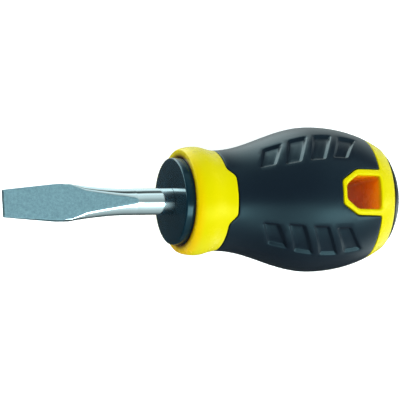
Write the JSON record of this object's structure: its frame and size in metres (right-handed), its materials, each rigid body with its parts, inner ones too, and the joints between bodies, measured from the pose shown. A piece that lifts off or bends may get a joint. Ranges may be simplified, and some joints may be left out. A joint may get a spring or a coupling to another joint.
{
  "type": "stubby slotted screwdriver",
  "caption": "Short slotted screwdriver with a flared steel tip, a bulbous soft-grip handle in dark grey and yellow, and a hanging hole near the butt.",
  "frame": {"origin": "centre of the blade tip's end face", "axes": "+X along the tool from the tip to the butt, +Z out of one mouth of the hanging hole and nearly normal to a ground flat of the tip"},
  "size_m": [0.1025, 0.0352, 0.0352],
  "materials": {
    "tool_steel": "bright plated round shaft, with the two ground flats of the tip blasted matt grey",
    "gloss_black_plastic": "polished hard moulding, nearly mirror-like on the nose disc",
    "yellow_plastic": "semi-gloss opaque hard plastic",
    "soft_grey_grip": "satin thermoplastic rubber, very dark blue-grey, with a fine moulded texture",
    "cap_black_plastic": "satin hard plastic"
  },
  "bodies": {
    "root": {"blade": "tool_steel", "core": "gloss_black_plastic", "front_collar": "yellow_plastic", "soft_grip": "soft_grey_grip", "rear_frame": "yellow_plastic", "end_cap": "cap_black_plastic"}
  },
  "joints": []
}
